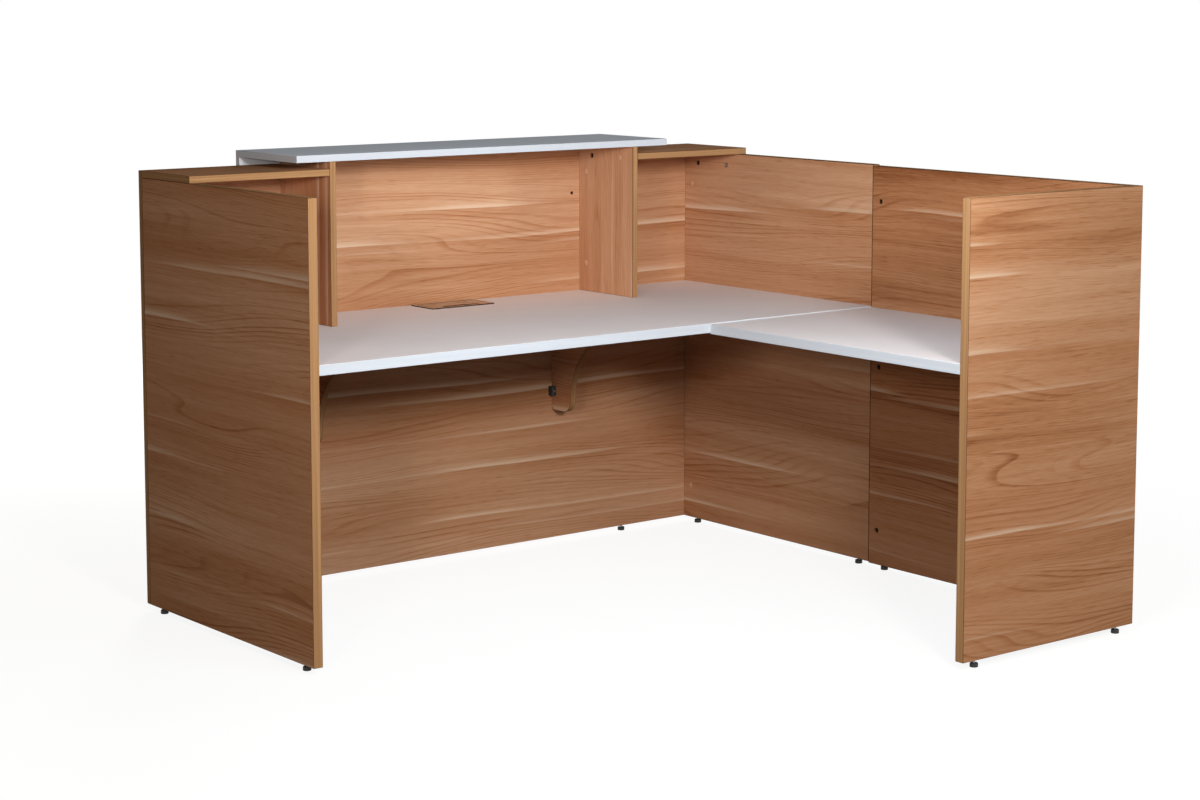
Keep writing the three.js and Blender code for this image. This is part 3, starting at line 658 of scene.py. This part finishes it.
class FittingTree(NodeSheet):
    """A Geometry Nodes tree that sets one fitting on each point, along its facing."""

    def __init__(self, name: str, sizes: dict[str, float]) -> None:
        """Starts a tree with named sizes.

        Args:
            name: The tree's name.
            sizes: The name of each size, with its plain value.
        """
        super().__init__(bpy.data.node_groups.new(name, "GeometryNodeTree"))
        rows = [("Points", "NodeSocketGeometry"), *((size, "NodeSocketFloat") for size in sizes),
                ("Finish", "NodeSocketMaterial")]
        self.keys = {
            label: self.tree.interface.new_socket(label, in_out="INPUT", socket_type=kind).identifier
            for label, kind in rows}
        self.tree.interface.new_socket("Fittings", in_out="OUTPUT", socket_type="NodeSocketGeometry")
        self.given = self.add("NodeGroupInput", {}).outputs
        self.sizes = dict(sizes)

    def upright(self, height: Feed) -> Socket:
        """Returns a place straight above the origin."""
        return self.add("ShaderNodeCombineXYZ", {2: height}).outputs[0]

    def moved(self, shape: Socket, height: Feed, turn: float = 0.0) -> Socket:
        """Lifts a shape, after a turn about its own axis, and returns it."""
        return self.add("GeometryNodeTransform", {
            "Geometry": shape, "Translation": self.upright(height),
            "Rotation": (0.0, 0.0, turn)}).outputs[0]

    def drum(self, sides: int, radius: Feed, depth: Feed) -> Socket:
        """Returns a round drum about the origin."""
        return self.add("GeometryNodeMeshCylinder", {
            "Vertices": sides, "Radius": radius, "Depth": depth}).outputs["Mesh"]

    def finish(self, shape: Socket) -> None:
        """Sets the shape on every point and closes the tree.

        Args:
            shape: The fitting, about the origin and facing +Z.
        """
        facing = self.add("GeometryNodeInputNamedAttribute", {"Name": "facing"},
                          data_type="FLOAT_VECTOR").outputs[0]
        turn = self.add("FunctionNodeAlignRotationToVector", {"Vector": facing}, axis="Z").outputs[0]
        dots = self.add("GeometryNodeMeshToPoints", {"Mesh": self.given["Points"]}).outputs[0]
        placed = self.add("GeometryNodeInstanceOnPoints", {
            "Points": dots, "Instance": shape, "Rotation": turn}).outputs[0]
        plain = self.add("GeometryNodeRealizeInstances", {"Geometry": placed}).outputs[0]
        dressed = self.add("GeometryNodeSetMaterial", {
            "Geometry": plain, "Material": self.given["Finish"]}).outputs[0]
        self.add("NodeGroupOutput", {"Fittings": dressed})

    def lay(self, name: str, points: Sequence[tuple[Vector, Vector]], finish: MottledFinish,
            smooth_below: float = 35.0, **sizes: float) -> bpy.types.Object:
        """Runs the tree on a set of points and keeps the plain mesh.

        Args:
            name: The new piece's name.
            points: The place and the facing of each fitting.
            finish: The fittings' finish.
            smooth_below: The angle under which faces shade as one, in degrees.
            sizes: Sizes that differ from the tree's own, with spaces as underscores.

        Returns:
            The new piece.
        """
        seeds = bpy.data.meshes.new(f"{name}_points")
        seeds.from_pydata([place for place, _ in points], [], [])
        facing = seeds.attributes.new("facing", "FLOAT_VECTOR", "POINT")
        for item, (_, way) in zip(facing.data, points):
            item.vector = way
        piece = bpy.data.objects.new(name, seeds)
        bpy.context.scene.collection.objects.link(piece)
        modifier = piece.modifiers.new("fittings", "NODES")
        modifier.node_group = self.tree
        wanted = self.sizes | {key.replace("_", " "): value for key, value in sizes.items()}
        for label, value in wanted.items():
            modifier[self.keys[label]] = value
        modifier[self.keys["Finish"]] = finish.material()
        shown = piece.evaluated_get(bpy.context.evaluated_depsgraph_get())
        mesh = bpy.data.meshes.new_from_object(shown)
        piece.modifiers.remove(modifier)
        piece.data = mesh
        bpy.data.meshes.remove(seeds)
        mesh.name = name
        mesh.shade_smooth()
        mesh.set_sharp_from_angle(angle=math.radians(smooth_below))
        return piece


def slotted_head_tree() -> FittingTree:
    """Draws a round head with a cross recess, for cams and screws.

    Returns:
        The tree, with the head's top face at minus its Sink.
    """
    tree = FittingTree("slotted_head", {
        "Radius": 7.2 * MILLIMETRE, "Depth": 8.0 * MILLIMETRE, "Sink": 0.5 * MILLIMETRE,
        "Slot Width": 2.0 * MILLIMETRE, "Slot Depth": 3.0 * MILLIMETRE})
    given = tree.given
    head = tree.drum(28, given["Radius"], given["Depth"])
    half = tree.math("MULTIPLY", given["Depth"], 0.5)
    bar = tree.add("ShaderNodeCombineXYZ", {
        0: tree.math("MULTIPLY", given["Radius"], 1.3), 1: given["Slot Width"],
        2: tree.math("MULTIPLY", given["Slot Depth"], 2.0)}).outputs[0]
    blade = tree.add("GeometryNodeMeshCube", {"Size": bar}).outputs["Mesh"]
    cut = tree.add("GeometryNodeMeshBoolean", {"Mesh 1": head}, operation="DIFFERENCE")
    for turn in (0.0, math.pi / 2):
        tree.feed(cut.inputs["Mesh 2"], tree.moved(blade, half, turn))
    down = tree.math("MULTIPLY", tree.math("ADD", half, given["Sink"]), -1.0)
    tree.finish(tree.moved(cut.outputs["Mesh"], down))
    return tree


def cover_cap_tree() -> FittingTree:
    """Draws a low push-in cap with a dimple in its middle.

    Returns:
        The tree, with the cap's rim on the board's face.
    """
    tree = FittingTree("cover_cap", {
        "Radius": 7.9 * MILLIMETRE, "Crown": 0.7 * MILLIMETRE, "Dimple": 1.5 * MILLIMETRE})
    given = tree.given
    rim = tree.add("GeometryNodeMeshCone", {
        "Vertices": 32, "Radius Bottom": given["Radius"],
        "Radius Top": tree.math("MULTIPLY", given["Radius"], 0.86), "Depth": given["Crown"]}).outputs["Mesh"]
    drill = tree.drum(16, given["Dimple"], given["Crown"])
    cut = tree.add("GeometryNodeMeshBoolean", {
        "Mesh 1": rim, "Mesh 2": tree.moved(drill, tree.math("MULTIPLY", given["Crown"], 1.25))},
        operation="DIFFERENCE")
    tree.finish(cut.outputs["Mesh"])
    return tree


def foot_pad_tree() -> FittingTree:
    """Turns a foot's pad from a run of radii along its height.

    Returns:
        The tree, with the pad standing on its point.
    """
    tree = FittingTree("foot_pad", {"Radius": 10.0 * MILLIMETRE, "Height": 10.0 * MILLIMETRE})
    given = tree.given
    axis = tree.add("GeometryNodeCurvePrimitiveLine", {"End": tree.upright(given["Height"])}).outputs[0]
    axis = tree.add("GeometryNodeResampleCurve", {"Curve": axis, "Count": 40}).outputs[0]
    along = tree.add("GeometryNodeSplineParameter", {}).outputs["Factor"]
    turned = tree.add("ShaderNodeFloatCurve", {"Value": along})
    outline = turned.mapping.curves[0].points
    outline[0].location = (0.0, 0.93)
    outline[1].location = (1.0, 0.84)
    for height, share in ((0.04, 0.98), (0.10, 1.0), (0.44, 1.0), (0.48, 0.965), (0.54, 0.965),
                          (0.58, 1.0), (0.80, 1.0), (0.93, 0.95)):
        outline.new(height, share)
    turned.mapping.update()
    ring = tree.add("GeometryNodeCurvePrimitiveCircle", {
        "Resolution": 48, "Radius": given["Radius"]}).outputs["Curve"]
    pad = tree.add("GeometryNodeCurveToMesh", {
        "Curve": axis, "Profile Curve": ring, "Scale": turned.outputs[0], "Fill Caps": True}).outputs[0]
    tree.finish(pad)
    return tree


def threaded_stud_tree() -> FittingTree:
    """Winds a thread round a stud's core.

    Returns:
        The tree, with the stud standing on its point.
    """
    tree = FittingTree("threaded_stud", {
        "Root Radius": 2.55 * MILLIMETRE, "Thread Height": 0.44 * MILLIMETRE,
        "Pitch": 1.0 * MILLIMETRE, "Length": 34.0 * MILLIMETRE})
    given = tree.given
    core = tree.moved(tree.drum(24, given["Root Radius"], given["Length"]),
                      tree.math("MULTIPLY", given["Length"], 0.5))
    wound = tree.math("SUBTRACT", given["Length"], given["Pitch"])
    helix = tree.add("GeometryNodeCurveSpiral", {
        "Resolution": 20, "Rotations": tree.math("DIVIDE", wound, given["Pitch"]),
        "Start Radius": given["Root Radius"], "End Radius": given["Root Radius"],
        "Height": wound}).outputs[0]
    section = tree.add("GeometryNodeCurvePrimitiveCircle", {
        "Resolution": 4, "Radius": given["Thread Height"]}).outputs["Curve"]
    ridge = tree.add("GeometryNodeCurveToMesh", {
        "Curve": helix, "Profile Curve": section, "Fill Caps": True}).outputs[0]
    lifted = tree.moved(ridge, tree.math("MULTIPLY", given["Pitch"], 0.5))
    both = tree.add("GeometryNodeJoinGeometry", {0: core})
    tree.feed(both.inputs[0], lifted)
    tree.finish(both.outputs[0])
    return tree


@dataclass
class LevellingFeet:
    """The feet that run in and out of the boards' lower edges."""

    body_mark: str = "foot_"
    pad_mark: str = "foot_pad_"
    seat_gap: float = 0.1 * MILLIMETRE

    def build(self) -> None:
        """Turns a pad and a threaded stud for every foot, and plates its insert."""
        pads, studs = foot_pad_tree(), threaded_stud_tree()
        up = Vector((0.0, 0.0, 1.0))
        for node in sorted(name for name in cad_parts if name.startswith(self.pad_mark)):
            place = node.removeprefix(self.pad_mark)
            body = f"{self.body_mark}{place}"
            low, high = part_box(node)
            middle = (low + high) / 2
            floor_point = Vector((middle.x, middle.y, low.z))
            pad = pads.lay(f"pad_{place}", [(floor_point, up)], BLACK_PLASTIC,
                           Radius=(high.x - low.x) / 2, Height=high.z - low.z - self.seat_gap)
            fit(pad, body, "black_plastic", node)
            stud_node = f"foot_stud_{place}"
            foot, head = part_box(stud_node)
            root = Vector((middle.x, middle.y, foot.z))
            stud = studs.lay(f"stud_{place}", [(root, up)], ZINC, Length=head.z - foot.z)
            fit(stud, body, "fitting_steel", stud_node)
            insert_node = f"foot_insert_{place}"
            insert = merged_copy(insert_node, f"insert_{place}")
            insert.data.materials.append(ZINC.material())
            soften_edges(insert.data, 0.2 * MILLIMETRE, 40.0)
            fit(insert, ROOT_BODY, "fitting_steel", insert_node)


def spread(start: float, end: float, inset: float, count: int) -> list[float]:
    """Spaces a row of fittings evenly between two ends.

    Args:
        start: Where the span starts.
        end: Where the span ends.
        inset: How far the outer fittings stand in from the ends.
        count: How many fittings there are.

    Returns:
        Their places along the span.
    """
    first, last = start + inset, end - inset
    return [first + (last - first) * number / (count - 1) for number in range(count)]


@dataclass
class BoardFittings:
    """Cams, cover caps and screws in the boards."""

    edge_inset: float = 30 * MILLIMETRE
    top_inset: float = 34 * MILLIMETRE
    side_inset: float = 95 * MILLIMETRE
    divider_inset: float = 80 * MILLIMETRE
    ledge_inset: float = 58 * MILLIMETRE
    worktop_inset: float = 120 * MILLIMETRE
    screw_hole_drop: float = 123 * MILLIMETRE
    screw_hole_inset: float = 145 * MILLIMETRE
    plate_screw_inset: float = 15 * MILLIMETRE
    capped: list = field(default_factory=list)
    sunk: list = field(default_factory=list)
    flush: list = field(default_factory=list)

    def build(self) -> None:
        """Sets every fitting in its bore or on its plate."""
        self._side_panels()
        self._return_side()
        self._dividers()
        self._worktops()
        heads, caps = slotted_head_tree(), cover_cap_tree()
        # The sunk heads and the bolts wear the darker zinc: painted recess shade.
        fit(heads.lay("sunk_cams", self.sunk, RECESS_SHADED_ZINC, Sink=4.0 * MILLIMETRE), ROOT_BODY, "fitting_steel")
        fit(heads.lay("flush_cams", self.flush, ZINC), ROOT_BODY, "fitting_steel")
        fit(caps.lay("cover_caps", self.capped, CAP_PLASTIC), ROOT_BODY, "walnut_board")
        bolts = heads.lay("batten_bolts", self._batten_bolts(), RECESS_SHADED_ZINC, Radius=4.6 * MILLIMETRE,
                          Depth=4.0 * MILLIMETRE, Sink=3.5 * MILLIMETRE, Slot_Width=1.4 * MILLIMETRE,
                          Slot_Depth=2.0 * MILLIMETRE)
        fit(bolts, ROOT_BODY, "fitting_steel")
        small = {"Radius": 3.6 * MILLIMETRE, "Depth": 2.0 * MILLIMETRE, "Slot_Width": 0.9 * MILLIMETRE,
                 "Slot_Depth": 1.1 * MILLIMETRE}
        plate_screws = heads.lay("plate_screws", self._plate_screws(), ZINC, Sink=-2.0 * MILLIMETRE, **small)
        fit(plate_screws, ROOT_BODY, "fitting_steel")
        block_screws = heads.lay("block_screws", self._block_screws(), ZINC, Sink=-1.4 * MILLIMETRE, **small)
        fit(block_screws, ROOT_BODY, "fitting_steel")

    def _side_panels(self) -> None:
        """Places the fittings on the main unit's two side panels."""
        panel_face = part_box("front_panel")[0].y
        ledge_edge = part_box("left_ledge")[0].y
        for node, way in (("left_side_panel", 1), ("corner_side_panel", -1)):
            low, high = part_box(node)
            face = high.x if way > 0 else low.x
            facing = Vector((way, 0, 0))
            for z in spread(low.z, high.z, self.side_inset, 3):
                self.capped.append((Vector((face, panel_face - self.edge_inset, z)), facing))
            level = high.z - self.top_inset
            staff, panel = spread(ledge_edge, panel_face, self.ledge_inset, 2)
            self.flush.append((Vector((face, staff, level)), facing))
            self.sunk.append((Vector((face, panel, level)), facing))

    def _return_side(self) -> None:
        """Places the cams at both ends of the return's side panel."""
        low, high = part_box("return_side_panel")
        for y in spread(low.y, high.y, self.edge_inset, 2):
            for z in spread(low.z, high.z, self.side_inset, 3):
                self.sunk.append((Vector((low.x, y, z)), Vector((-1, 0, 0))))

    def _dividers(self) -> None:
        """Places the fittings on the dividers' faces towards the middle."""
        for node, way in (("left_divider", 1), ("right_divider", -1)):
            low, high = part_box(node)
            face = high.x if way > 0 else low.x
            facing = Vector((way, 0, 0))
            for z in spread(low.z, high.z, self.divider_inset, 2):
                self.capped.append((Vector((face, high.y - self.edge_inset, z)), facing))
            level = high.z - self.top_inset
            staff, panel = spread(low.y, high.y, self.ledge_inset, 2)
            self.capped.append((Vector((face, staff, level)), facing))
            self.sunk.append((Vector((face, panel, level)), facing))

    def _worktops(self) -> None:
        """Places the cams under the two worktops."""
        down = Vector((0, 0, -1))
        low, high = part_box("main_worktop")
        for x in spread(low.x, high.x, self.top_inset, 2):
            for y in spread(low.y, high.y, self.worktop_inset, 3):
                self.flush.append((Vector((x, y, low.z)), down))
        low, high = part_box("return_worktop")
        for y in spread(low.y, high.y, self.worktop_inset, 3):
            self.flush.append((Vector((high.x - self.top_inset, y, low.z)), down))
        for x in spread(low.x, high.x, self.worktop_inset, 2):
            self.flush.append((Vector((x, low.y + self.top_inset, low.z)), down))

    def _batten_bolts(self) -> list[tuple[Vector, Vector]]:
        """Lists the bolts that hold the fascia's battens, in the front panel's holes."""
        left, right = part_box("transaction_counter")
        low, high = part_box("front_panel")
        level = high.z - self.screw_hole_drop
        return [(Vector((x, low.y, level)), Vector((0, -1, 0)))
                for x in spread(left.x, right.x, self.screw_hole_inset, 2)]

    def _plate_screws(self) -> list[tuple[Vector, Vector]]:
        """Lists the four screws of each plate under the worktops' seam."""
        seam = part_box("main_worktop")[0].y
        found = []
        for node in ("joining_plate_left", "joining_plate_right"):
            low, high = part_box(node)
            step = (high.z - low.z) / 2
            for x in (low.x + self.plate_screw_inset, high.x - self.plate_screw_inset):
                for y in (*spread(seam, high.y, self.plate_screw_inset, 2),
                          *spread(low.y, seam, self.plate_screw_inset, 2)):
                    level = low.z + step if y > seam else low.z
                    found.append((Vector((x, y, level)), Vector((0, 0, -1))))
        return found

    def _block_screws(self) -> list[tuple[Vector, Vector]]:
        """Lists the screw in each corner block, towards the board that it holds."""
        found = []
        for side in ("left", "right"):
            low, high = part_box(f"panel_block_{side}")
            middle = (low + high) / 2
            found.append((Vector((middle.x, low.y, middle.z)), Vector((0, -1, 0))))
            low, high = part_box(f"worktop_block_{side}")
            middle = (low + high) / 2
            found.append((Vector((middle.x, middle.y, low.z)), Vector((0, 0, -1))))
        return found


@dataclass
class SmallParts:
    """Corner blocks on the brackets and the plates under the worktops' seam."""

    edge_radius: float = 0.5 * MILLIMETRE

    def build(self) -> None:
        """Dresses each block and plate."""
        for side in ("left", "right"):
            for node, finish, slot in ((f"panel_block_{side}", BLACK_PLASTIC, "black_plastic"),
                                       (f"worktop_block_{side}", BLACK_PLASTIC, "black_plastic"),
                                       (f"joining_plate_{side}", ZINC, "fitting_steel")):
                piece = merged_copy(node, f"{node}_part")
                piece.data.materials.append(finish.material())
                soften_edges(piece.data, self.edge_radius, 20.0)
                fit(piece, ROOT_BODY, slot, node)


@dataclass(frozen=True)
class Lamp:
    """A soft box that stands round the desk."""

    name: str
    azimuth: float
    elevation: float
    distance: float
    size: float
    level: float
    tint: tuple[float, float, float]

    def build(self, target: Vector) -> None:
        """Stands the lamp up, turned to its target.

        Args:
            target: The point that it lights.
        """
        azimuth, elevation = math.radians(self.azimuth), math.radians(self.elevation)
        away = Vector((math.sin(azimuth) * math.cos(elevation), -math.cos(azimuth) * math.cos(elevation),
                       math.sin(elevation)))
        light = bpy.data.lights.new(self.name, "AREA")
        light.shape = "DISK"
        light.size = self.size
        light.color = self.tint
        light.energy = self.level * (math.pi * self.distance) ** 2
        lamp = bpy.data.objects.new(self.name, light)
        lamp.location = target + away * self.distance
        lamp.rotation_euler = away.to_track_quat("Z", "Y").to_euler()
        lamp.visible_camera = False
        bpy.context.scene.collection.objects.link(lamp)


@dataclass
class Studio:
    """A pale floor, a white surround, soft lamps and the camera."""

    floor_half: float = 30.0
    floor_tone: tuple[float, float, float, float] = (0.18, 0.175, 0.17, 1.0)
    floor_glow: tuple[float, float] = (0.88, 1.0)
    glow_reach: tuple[float, float] = (1.2, 5.0)
    ambient: tuple[float, float, float, float] = (0.012, 0.012, 0.012, 1.0)
    target: tuple[float, float, float] = (0.1, 0.3, 0.6)
    lamps: tuple = (
        Lamp("key_lamp", -20.0, 17.5, 5.0, 0.8, 0.47, (0.99, 0.975, 0.955)),
        Lamp("left_lamp", -52.0, 12.5, 5.0, 0.6, 0.22, (1.0, 0.92, 0.86)),
        Lamp("right_lamp", 51.0, 15.5, 4.6, 0.6, 0.20, (0.86, 1.0, 1.07)),
        Lamp("near_lamp", -28.9, 31.9, 1.71, 1.1, 0.275, (0.93, 1.0, 1.09)),
        Lamp("bay_lamp", -8.0, 36.0, 1.58, 1.0, 0.28, (0.89, 1.0, 1.10)),
        Lamp("back_lamp", 155.0, 12.0, 5.0, 1.6, 0.72, (1.0, 1.0, 1.0)))
    camera_place: tuple[float, float, float] = (-3.8783, -4.8026, 1.5671)
    camera_pitch: float = 6.573
    camera_yaw: float = 38.296
    camera_lens: float = 75.324
    camera_shift: float = -0.10

    def build(self) -> None:
        """Sets up the whole stage."""
        bpy.context.scene.view_settings.view_transform = "Standard"
        self._floor()
        self._surround()
        for lamp in self.lamps:
            lamp.build(Vector(self.target))
        self._camera()

    @staticmethod
    def _seen(sheet: NodeSheet) -> Socket:
        """Tells the rays that show the background from those that light the desk.

        Args:
            sheet: The sheet to add the test to.

        Returns:
            1 for a camera, glossy or transmission ray, and 0 for the others.
        """
        path = sheet.add("ShaderNodeLightPath", {}).outputs
        mirrored = sheet.math("MAXIMUM", path["Is Glossy Ray"], path["Is Transmission Ray"])
        return sheet.math("MAXIMUM", path["Is Camera Ray"], mirrored)

    def _floor(self) -> None:
        """Lays the floor, which glows towards white where it is seen and keeps its shadows."""
        half = self.floor_half
        mesh = bpy.data.meshes.new("studio_floor")
        mesh.from_pydata([(-half, -half, 0), (half, -half, 0), (half, half, 0), (-half, half, 0)], [],
                         [(0, 1, 2, 3)])
        floor = bpy.data.objects.new("studio_floor", mesh)
        bpy.context.scene.collection.objects.link(floor)
        material = bpy.data.materials.new("pale_floor")
        material.use_nodes = True
        sheet = NodeSheet(material.node_tree)
        matt = sheet.add("ShaderNodeBsdfDiffuse", {"Color": self.floor_tone}).outputs[0]
        away = sheet.add("ShaderNodeVectorMath", {0: sheet.place()}, operation="LENGTH").outputs["Value"]
        paler = sheet.ease(away, *self.glow_reach, *self.floor_glow)
        glow = sheet.add("ShaderNodeEmission", {
            "Strength": sheet.math("MULTIPLY", self._seen(sheet), paler)}).outputs[0]
        both = sheet.add("ShaderNodeAddShader", {0: matt, 1: glow}).outputs[0]
        sheet.add("ShaderNodeOutputMaterial", {"Surface": both})
        mesh.materials.append(material)

    def _surround(self) -> None:
        """Makes the surround white to look at and dim as a light."""
        world = bpy.data.worlds.new("white_surround")
        world.use_nodes = True
        sheet = NodeSheet(world.node_tree)
        dim = sheet.add("ShaderNodeBackground", {"Color": self.ambient}).outputs[0]
        white = sheet.add("ShaderNodeBackground", {"Color": (1.0, 1.0, 1.0, 1.0)}).outputs[0]
        both = sheet.add("ShaderNodeMixShader", {0: self._seen(sheet), 1: dim, 2: white}).outputs[0]
        sheet.add("ShaderNodeOutputWorld", {"Surface": both})
        bpy.context.scene.world = world

    def _camera(self) -> None:
        """Stands the camera where the desk is seen from its staff side."""
        lens = bpy.data.cameras.new("camera")
        lens.lens = self.camera_lens
        lens.shift_y = self.camera_shift
        camera = bpy.data.objects.new("camera", lens)
        camera.location = self.camera_place
        camera.rotation_euler = (math.radians(90 - self.camera_pitch), 0, math.radians(-self.camera_yaw))
        bpy.context.scene.collection.objects.link(camera)
        bpy.context.scene.camera = camera


def main() -> None:
    """Builds the desk's looks and the studio, and reports each piece."""
    logging.basicConfig(level=logging.INFO, format="%(message)s")
    for part in (Carcass(), CableFlap(), SmallParts(), LevellingFeet(), BoardFittings(), Studio()):
        log.info("building %s", type(part).__name__)
        part.build()


if __name__ == "__main__":
    main()
